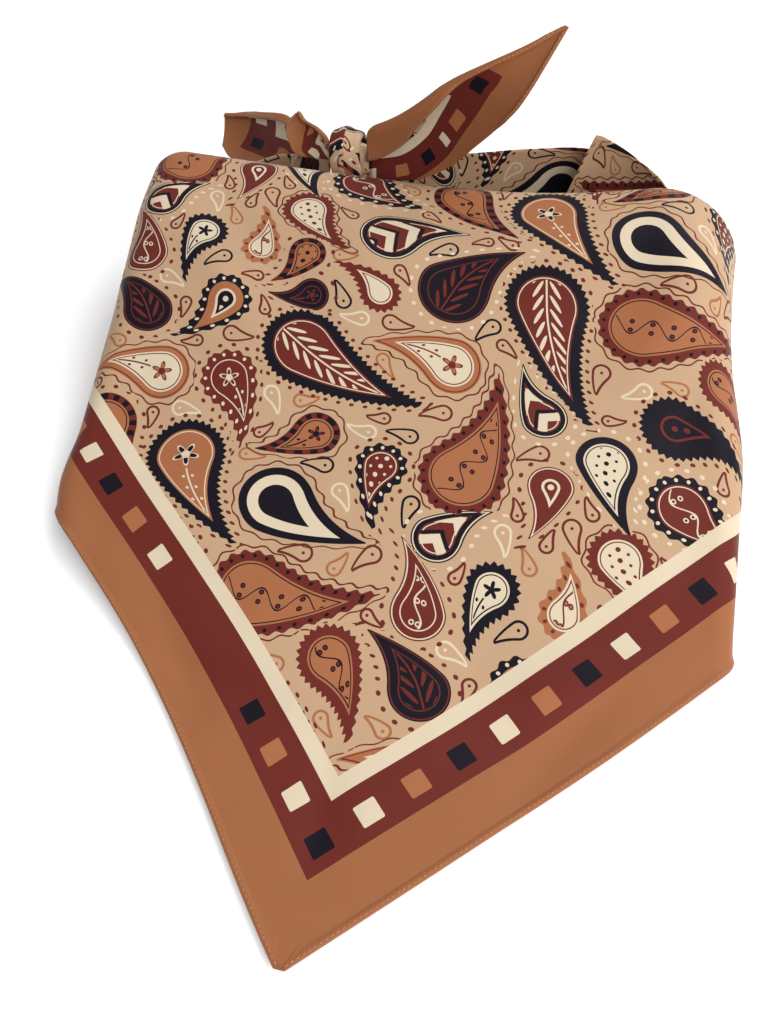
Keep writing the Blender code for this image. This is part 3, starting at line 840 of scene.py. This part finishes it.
def drop_shape_group():
    """From a place seen from a drop and the drop's form: the distance to its outline, below 0 inside,
    the way round the outline from the middle of the head, and the place with the bend taken out."""
    tree, given, result = new_group(
        "Drop shape", [("Place", "Vector"), ("Form", "Vector")],
        [("Distance", "Float"), ("Way round", "Float"), ("Along", "Float"), ("Across", "Float")])
    x, y, _ = split_up(tree, given.outputs["Place"])
    head, reach, bend = split_up(tree, given.outputs["Form"])
    tailward = x.at_least(0)
    across = y - bend * tailward * tailward
    off = abs(across)
    lean = (head - TIP_RADIUS) / reach
    flank = (1 - lean * lean).root()
    along_side = flank * x - lean * off
    to_head = length(x, off) - head
    to_tip = length(x - reach, off) - TIP_RADIUS
    to_side = flank * off + lean * x - head
    past_side = along_side > flank * reach
    on_head = along_side < 0
    distance = blend(on_head, to_head, blend(past_side, to_tip, to_side))
    head_angle = off.work("ARCTAN2", -x)
    side_start = flank.work("ARCTAN2", -lean)
    way = blend(on_head, head * head_angle, head * side_start + along_side)
    for name, value in (("Distance", distance), ("Way round", way), ("Along", x), ("Across", across)):
        tree.links.new(value.socket, result.inputs[name])
    return tree


def use_group(tree, group, **links):
    """Places a group in a tree and links its inputs."""
    node = tree.nodes.new("ShaderNodeGroup")
    node.node_tree = group
    for name, socket in links.items():
        tree.links.new(socket, node.inputs[name.replace("_", " ")])
    return node


def big_drop_group(shape):
    """A big drop of the print over the ground: dots round it, outline, rim and filling. Each layer is
    painted over those before it, and all sizes are in pitches."""
    tree, given, result = new_group(
        "Big drop", [("Place", "Vector"), ("Form", "Vector"), ("Look", "Vector"), ("Rim", "Color"),
                     ("Filling", "Color"), ("Marks", "Color"), ("Under", "Color")], [("Colour", "Color")])
    drop = use_group(tree, shape, Place=given.outputs["Place"], Form=given.outputs["Form"])
    distance, way, along, across = (Signal(tree, drop.outputs[name])
                                    for name in ("Distance", "Way round", "Along", "Across"))
    head, reach, _ = split_up(tree, given.outputs["Form"])
    rim_kind, filling_kind, halo_kind = split_up(tree, given.outputs["Look"])
    rim, filling, marks = (given.outputs[name] for name in ("Rim", "Filling", "Marks"))
    off = abs(across)

    def is_filled(name):
        return filling_kind.is_kind(FILLINGS[name])

    halo = length(way.repeated(0.27), distance - 0.17) < 0.047
    ripple = (way * (2 * math.pi / 0.42)).work("SINE") * 0.035
    halo_line = abs(distance - 0.13 - ripple) < 0.020
    layers = [(halo * halo_kind.is_kind(HALOS["dots"]), PAINTS["rust"]),
              (halo * halo_kind.is_kind(HALOS["pale_dots"]), PAINTS["cream"]),
              (halo_line * halo_kind.is_kind(HALOS["line"]), PAINTS["rust"])]

    beat = 0.30
    wave = (way * (2 * math.pi / beat)).work("SINE")
    tooth = abs(way.repeated(0.16)) * 1.1
    swell = rim_kind.is_kind(RIMS["scalloped"]) * (wave * 0.035 + 0.02)
    swell = swell + rim_kind.is_kind(RIMS["toothed"]) * tooth
    rim_width = head * 0.12 + 0.09
    thin_line = abs(distance + 0.045) < 0.014
    beads = length(way.repeated(beat), distance + 0.08) < 0.045
    stripes = (wave > 0.0) * (distance < -0.02)
    layers += [(distance < swell, rim),
               (thin_line * rim_kind.is_kind(RIMS["plain"]), marks),
               (beads * rim_kind.is_kind(RIMS["scalloped"]), marks),
               (stripes * rim_kind.is_kind(RIMS["striped"]), marks)]

    inside = distance + rim_width
    deep = inside < -0.09
    layers += [(inside < 0, filling),
               ((abs(inside + 0.055) < 0.013) * (1 - is_filled("nested")), marks)]

    nested = inside + head * 0.30
    seeds = length(along.repeated(0.26), across) < 0.07
    layers += [((nested < 0) * is_filled("nested"), marks),
               ((nested < -0.06) * is_filled("nested"), rim),
               (seeds * (nested < -0.12) * is_filled("nested"), marks)]

    stem = off < 0.022
    barb = (along - off * 1.5).repeated(0.34)
    leaf = length(barb * 0.55, (off - 0.20) * 0.35) < 0.045
    layers.append((either(stem, leaf) * deep * is_filled("feather"), marks))

    dots = length(along.repeated(0.24), off) < 0.055
    side_dots = length((along + 0.12).repeated(0.24), off - 0.19) < 0.035
    layers.append((either(dots, side_dots) * deep * is_filled("dotted"), marks))

    petals = (across.work("ARCTAN2", along) * 5).work("COSINE")
    bloom = length(along, across) - head * 0.34 * (petals * 0.35 + 0.75)
    heart = length(along, across) < head * 0.12
    sprout = (off < 0.02) * (along > head * 0.45)
    buds = (length((along - head * 0.7).repeated(0.3), off - 0.10) < 0.035) * (along > head * 0.5)
    layers += [((bloom < 0) * is_filled("flower"), marks),
               ((bloom < -0.05) * is_filled("flower"), rim),
               (heart * is_filled("flower"), marks),
               (either(sprout, buds) * deep * is_filled("flower"), marks)]

    vee = (along + off * 0.8).repeated(0.62)
    chevron = is_filled("chevrons") * (inside < -0.02)
    layers += [((abs(vee) < 0.13) * chevron, marks),
               ((abs(vee - 0.20) < 0.05) * chevron, rim)]

    sway = (along * (2 * math.pi / 0.9)).work("SINE") * head * 0.22
    vine = abs(across - sway) < 0.020
    from_berry = length((along - 0.225).repeated(0.45), off - head * 0.12)
    layers += [(either(vine, from_berry < 0.060) * deep * is_filled("vine"), marks),
               ((from_berry < 0.030) * deep * is_filled("vine"), rim)]

    colour = given.outputs["Under"]
    for mask, over in layers:
        colour = painted(mask, over, colour)
    tree.links.new(colour, result.inputs["Colour"])
    return tree


def sprig_group(shape):
    """A small outlined drop of the print, with a seed in its head."""
    tree, given, result = new_group(
        "Sprig", [("Place", "Vector"), ("Form", "Vector"), ("Paint", "Color"), ("Under", "Color")],
        [("Colour", "Color")])
    drop = use_group(tree, shape, Place=given.outputs["Place"], Form=given.outputs["Form"])
    distance, along, across = (Signal(tree, drop.outputs[name]) for name in ("Distance", "Along", "Across"))
    outline = abs(distance) < 0.028
    seed = length(along, across) < 0.035
    colour = painted(either(outline, seed), given.outputs["Paint"], given.outputs["Under"])
    tree.links.new(colour, result.inputs["Colour"])
    return tree


def border_group():
    """The border of the square over its field: outer band, rust band with its squares, cream band."""
    tree, given, result = new_group(
        "Border", [("Place", "Vector"), ("Field", "Color")], [("Colour", "Color")])
    a, b, _ = split_up(tree, given.outputs["Place"])
    a_edge = a.at_most(PITCHES_IN_SIDE - a)
    b_edge = b.at_most(PITCHES_IN_SIDE - b)
    edge = a_edge.at_most(b_edge)
    along = blend(a_edge < b_edge, b, a)
    u = (abs((along - SQUARES_IN).repeated(1.0)) - SQUARE_HALF).at_least(0)
    v = (abs(edge - SQUARES_IN) - SQUARE_HALF).at_least(0)
    bare = (a < CREAM_TO) * (b > BARE_FROM) * (b < BARE_TO)
    square = (length(u, v) < SQUARE_ROUNDING) * (a_edge.at_least(b_edge) > 1.0) * (1 - bare)
    number = (along - 1.0).work("FLOOR").work("MODULO", 3.0)
    layers = [(edge < CREAM_TO, "cream"), (edge < RUST_TO, "rust")]
    layers += [(square * number.is_kind(kind), name) for kind, name in enumerate(SQUARE_PAINTS)]
    layers.append((edge < OUTER_TO, "border"))
    colour = given.outputs["Field"]
    for mask, name in layers:
        colour = painted(mask, PAINTS[name], colour)
    tree.links.new(colour, result.inputs["Colour"])
    return tree


def twill_group():
    """The fine diagonal ribs of the twill: a colour factor, a roughness and a height."""
    tree, given, result = new_group(
        "Silk twill", [("Place", "Vector"), ("Roughness", "Float")],
        [("Shade", "Float"), ("Roughness", "Float"), ("Height", "Float")])
    a, b, _ = split_up(tree, given.outputs["Place"])
    ribs = ((a + b) * (2 * math.pi / TWILL_SPACING)).work("SINE")
    noise = tree.nodes.new("ShaderNodeTexNoise")
    noise.inputs["Scale"].default_value = 1.3
    noise.inputs["Detail"].default_value = 3.0
    tree.links.new(given.outputs["Place"], noise.inputs["Vector"])
    cloudy = Signal(tree, noise.outputs["Fac"]) - 0.5
    shade = ribs * 0.012 + cloudy * 0.07 + 1.0
    roughness = Signal(tree, given.outputs["Roughness"]) + cloudy * 0.14 + ribs * 0.02
    for name, value in (("Shade", shade), ("Roughness", roughness), ("Height", ribs)):
        tree.links.new(value.socket, result.inputs[name])
    return tree


def map_node(tree, name):
    node = tree.nodes.new("ShaderNodeUVMap")
    node.uv_map = name
    return node.outputs["UV"]


def attribute_node(tree, name, output):
    node = tree.nodes.new("ShaderNodeAttribute")
    node.attribute_name = name
    return node.outputs[output]


def printed_silk_material():
    """Silk twill with the whole print, in a soft satin sheen."""
    material = bpy.data.materials.new("printed_silk")
    material.use_nodes = True
    tree = material.node_tree
    shader = tree.nodes["Principled BSDF"]
    shape = drop_shape_group()
    place = map_node(tree, "Cloth")
    ground = tree.nodes.new("ShaderNodeRGB")
    ground.outputs[0].default_value = PAINTS["ground"]
    sprig = use_group(tree, sprig_group(shape), Place=map_node(tree, "Sprig"),
                      Form=attribute_node(tree, "sprig_form", "Vector"),
                      Paint=attribute_node(tree, "sprig_colour", "Color"), Under=ground.outputs[0])
    drop = use_group(tree, big_drop_group(shape), Place=map_node(tree, "Drop"),
                     Form=attribute_node(tree, "drop_form", "Vector"),
                     Look=attribute_node(tree, "drop_look", "Vector"),
                     Rim=attribute_node(tree, "rim_colour", "Color"),
                     Filling=attribute_node(tree, "filling_colour", "Color"),
                     Marks=attribute_node(tree, "mark_colour", "Color"), Under=sprig.outputs[0])
    border = use_group(tree, border_group(), Place=place, Field=drop.outputs[0])
    twill = use_group(tree, twill_group(), Place=place)
    twill.inputs["Roughness"].default_value = SILK_ROUGHNESS
    shaded = tree.nodes.new("ShaderNodeVectorMath")
    shaded.operation = "SCALE"
    tree.links.new(border.outputs[0], shaded.inputs[0])
    tree.links.new(twill.outputs["Shade"], shaded.inputs["Scale"])
    tree.links.new(shaded.outputs[0], shader.inputs["Base Color"])
    tree.links.new(twill.outputs["Roughness"], shader.inputs["Roughness"])
    bump = tree.nodes.new("ShaderNodeBump")
    bump.inputs["Strength"].default_value = TWILL_BUMP
    bump.inputs["Distance"].default_value = TWILL_DEPTH
    tree.links.new(twill.outputs["Height"], bump.inputs["Height"])
    tree.links.new(bump.outputs[0], shader.inputs["Normal"])
    shader.inputs["Sheen Weight"].default_value = SILK_SHEEN
    shader.inputs["Sheen Roughness"].default_value = SILK_SHEEN_ROUGHNESS
    shader.inputs["Specular IOR Level"].default_value = SILK_GLOSS
    return material


def hem_line(grid, normal, distance):
    """Places on a sheet just inside the hem at the start of its rows, with the way out of the sheet.
    distance says how far from that hem each point of the grid lies. Rows with no hem there are left."""
    places = []
    for points, ways, gaps in zip(grid, normal, distance):
        if gaps[0] < HEM_INSET / 2 and gaps.max() > HEM_INSET:
            stop = int(np.argmax(gaps > HEM_INSET))
            share = (HEM_INSET - gaps[stop - 1]) / (gaps[stop] - gaps[stop - 1])
            places.append(np.concatenate([points[stop - 1] * (1 - share) + points[stop] * share,
                                          ways[stop]]))
    return np.array(places)


def add_stitches(name, lines, material):
    """Machine stitches along the lines. Each goes through the hem, so it shows on both faces."""
    points, faces = [], []
    angles = np.linspace(0, 2 * math.pi, STITCH_SIDES, endpoint=False)
    for line in lines:
        along = lengths_along(line[:, None, :3], 0)[:, 0]
        middles = np.arange(STITCH_SPACING, along[-1], STITCH_SPACING)
        spots, ways = (np.stack([np.interp(middles, along, line[:, i]) for i in axes], -1)
                       for axes in ((0, 1, 2), (3, 4, 5)))
        headings = unit(np.gradient(spots, axis=0))
        ways = unit(ways)
        for spot, heading, way in zip(spots, headings, ways):
            side = np.cross(heading, way)
            for share, fullness in STITCH_PROFILE:
                ring = (np.outer(np.cos(angles), side) * STITCH_HALF_WIDTH
                        + np.outer(np.sin(angles), way) * STITCH_HALF_HEIGHT)
                points.extend(spot + heading * STITCH_HALF_LENGTH * share + ring * fullness)
    sides, rings = STITCH_SIDES, len(STITCH_PROFILE)
    for start in range(0, len(points), sides * rings):
        for ring in range(rings - 1):
            for i in range(sides):
                a, b = start + sides * ring + i, start + sides * ring + (i + 1) % sides
                faces.append((a, b, b + sides, a + sides))
        faces.append(tuple(range(start + sides - 1, start - 1, -1)))
        faces.append(tuple(range(start + sides * (rings - 1), start + sides * rings)))
    return add_piece(name, np.array(points), faces, material)


def thread_material():
    """Fine twisted sewing thread, close to the border's colour."""
    material = bpy.data.materials.new("hem_thread")
    material.use_nodes = True
    tree = material.node_tree
    shader = tree.nodes["Principled BSDF"]
    place = tree.nodes.new("ShaderNodeTexCoord")
    noise = tree.nodes.new("ShaderNodeTexNoise")
    noise.inputs["Scale"].default_value = 900
    tree.links.new(place.outputs["Object"], noise.inputs["Vector"])
    mask = Signal(tree, noise.outputs["Fac"])
    colour = painted(mask, THREAD_LIGHT, THREAD_DARK)
    tree.links.new(colour, shader.inputs["Base Color"])
    shader.inputs["Roughness"].default_value = THREAD_ROUGHNESS
    return material


def closed_form(name, grid, start, material, node):
    """A rounded solid through rings of points. Its last row, if it meets the first, is joined to it."""
    rows, columns = grid.shape[:2]
    ring = columns - 1
    loops = bool(np.allclose(grid[0], grid[-1]))
    last = rows - 1 if loops else rows
    points = grid[:last, :ring].reshape(-1, 3)
    i, j = np.meshgrid(np.arange(rows - 1), np.arange(ring), indexing="ij")
    i, j = i.ravel(), j.ravel()

    def index(row, column):
        return (row % last) * ring + column % ring

    faces = np.stack([index(i, j), index(i, j + 1), index(i + 1, j + 1), index(i + 1, j)], 1)
    place = np.stack([lengths_along(grid, 0), lengths_along(grid, 1)], -1) + np.array(start)
    corner_rows = np.stack([i, i, i + 1, i + 1], 1)
    corner_columns = np.stack([j, j + 1, j + 1, j], 1)
    corners = place[corner_rows, corner_columns]
    bake = np.stack([corner_rows / (rows - 1), corner_columns / ring], -1) * MAP_FACE[1] + MAP_MARGIN
    piece = add_piece(name, points, faces, material)
    add_print(piece.data, corners)
    add_map(piece.data, "OFBake", bake)
    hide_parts(node)
    return piece


# Walls round the neck: name of the piece, its node, its rows, the place of its first foot on the cloth
# as run and side, and how many points along and up
WALLS = (
    ("right_side_cloth", "right_side_stretch", RIGHT_SIDE_ROWS, (19.75, 9.25), 60, 40),
    ("right_back_cloth", "right_back_stretch", RIGHT_BACK_ROWS, (22.0, 10.25), 70, 36),
    ("left_back_cloth", "left_back_stretch", LEFT_BACK_ROWS, (20.0, -8.5), 60, 30),
)
# Tails: node, rows, points along, the way it is seen from, how the border lies on it, and the corner
# of the square that it ends in
TAILS = (
    ("right_tail", RIGHT_TAIL_ROWS, 90, (0, -1, 0), RIGHT_TAIL_PRINT, LEAF_STRETCH["right"], "right"),
    ("left_tail", LEFT_TAIL_ROWS, 80, (0, 0, 1), LEFT_TAIL_PRINT, LEAF_STRETCH["left"], "left"),
    ("left_tail_fold", LEFT_FOLD_ROWS, 50, (0, 0, 1), LEFT_FOLD_PRINT, LEAF_STRETCH["fold"], "left"),
)
TAIL_COLUMNS_ACROSS = 40
WRAP_START = (10.3, 12.0)
CORE_START = (6.0, 8.0)


def at_corner(place, corner):
    """Places given from a tail's tip and hem, as places on the square, whose corner the tip is."""
    if corner == "right":
        return np.stack([PITCHES_IN_SIDE - place[..., 0], place[..., 1]], -1)
    return np.stack([place[..., 1], PITCHES_IN_SIDE - place[..., 0]], -1)


def make_scarf(silk):
    """Every stretch of the scarf as its own sheet, and for each the lines that its hems follow."""
    pieces, hem_lines = {}, {}
    grid, place = front_panel()
    pieces["front_panel"], way_out = cloth("front_panel_cloth", grid, place, silk,
                                           ("front_panel", "neck_roll"))
    distance = from_edge(place)
    hem_lines["front_panel"] = [hem_line(grid, way_out, distance),
                                hem_line(grid[:, ::-1], way_out[:, ::-1], distance[:, ::-1])]
    grid, place = under_layer()
    pieces["under_layer"] = cloth("under_layer_cloth", grid, place, silk, ("under_layer",))[0]
    for name, node, rows, start, along, up in WALLS:
        grid, place = neck_wall(rows, start, along, up)
        pieces[node] = cloth(name, grid, place, silk, (node,))[0]
    for node, rows, along, front, places, stretch, corner in TAILS:
        grid, place, flap_place, fold = tail(rows, along, TAIL_COLUMNS_ACROSS, front, places, stretch)
        place, flap_place = at_corner(place, corner), at_corner(flap_place, corner)
        pieces[node], way_out = cloth(node + "_cloth", grid, place, silk, (node,), fold, flap_place)
        lines = (hem_line(grid[:, :fold], way_out[:, :fold], from_edge(place)[:, :fold]),
                 hem_line(grid[:, ::-1], way_out[:, ::-1], lengths_along(grid[:, ::-1], 1)))
        hem_lines[node] = [line for line in lines if len(line) > 3]
    pieces["knot_wrap"] = closed_form("knot_wrap_cloth", knot_wrap(), WRAP_START, silk, "knot_wrap")
    pieces["knot_core"] = closed_form("knot_core_cloth", knot_core(), CORE_START, silk, "knot_core")
    return pieces, hem_lines


# The photo's own view: the camera's place, in pitches from the near corner, how far it is turned to
# the left and tilted down, and its lens and sensor in millimetres
EYE = (2.5, -3.27, 15.8)
VIEW_TURN = math.radians(13)
VIEW_TILT = math.radians(50)
LENS = 31.64
SENSOR_HEIGHT = 36
# Lights, in metres and watts: name, place, size and power. All are aimed at the origin
LIGHTS = (
    ("behind", (0.50, 0.60, 0.85), 1.1, 11.0),
    ("front", (0.55, -0.60, 0.62), 0.7, 9.0),
)
STUDIO_LIGHT = 0.57
FLOOR_SIZE = 8


def set_up_camera():
    """Looks at the scarf from in front and above, as the photo does."""
    camera = bpy.data.cameras.new("camera")
    camera.sensor_fit = "VERTICAL"
    camera.sensor_height = SENSOR_HEIGHT
    camera.lens = LENS
    viewer = bpy.data.objects.new("camera", camera)
    bpy.context.scene.collection.objects.link(viewer)
    ahead = Vector((-math.sin(VIEW_TURN) * math.cos(VIEW_TILT),
                    math.cos(VIEW_TURN) * math.cos(VIEW_TILT), -math.sin(VIEW_TILT)))
    viewer.location = (np.array(EYE) + NEAR_CORNER) * PITCH
    viewer.rotation_euler = ahead.to_track_quat("-Z", "Y").to_euler()
    bpy.context.scene.camera = viewer


def add_area_light(name, spot, size, power):
    """A square soft light, aimed at the origin."""
    light = bpy.data.lights.new(name, "AREA")
    light.shape = "SQUARE"
    light.size = size
    light.energy = power
    lamp = bpy.data.objects.new(name, light)
    lamp.location = spot
    lamp.rotation_euler = (-Vector(spot)).to_track_quat("-Z", "Y").to_euler()
    bpy.context.scene.collection.objects.link(lamp)


def set_up_light():
    """An even pale studio, and the soft lights."""
    world = bpy.data.worlds.new("studio")
    bpy.context.scene.world = world
    world.use_nodes = True
    background = world.node_tree.nodes["Background"]
    background.inputs["Color"].default_value = (1, 1, 1, 1)
    background.inputs["Strength"].default_value = STUDIO_LIGHT
    for light in LIGHTS:
        add_area_light(*light)
    bpy.context.scene.view_settings.view_transform = "Standard"


def add_floor():
    """The white table."""
    bpy.ops.object.select_all(action="DESELECT")
    bpy.ops.mesh.primitive_plane_add(size=FLOOR_SIZE, location=(0, 0, 0))
    floor = bpy.context.active_object
    floor.name = "floor"
    material = bpy.data.materials.new("white_table")
    material.use_nodes = True
    shader = material.node_tree.nodes["Principled BSDF"]
    shader.inputs["Base Color"].default_value = (0.98, 0.98, 0.99, 1)
    shader.inputs["Roughness"].default_value = 0.8
    floor.data.materials.append(material)


pieces, hem_lines = make_scarf(printed_silk_material())
thread = thread_material()
stitches = {node: add_stitches(node + "_stitches", lines, thread) for node, lines in hem_lines.items()}
set_up_camera()
set_up_light()
add_floor()
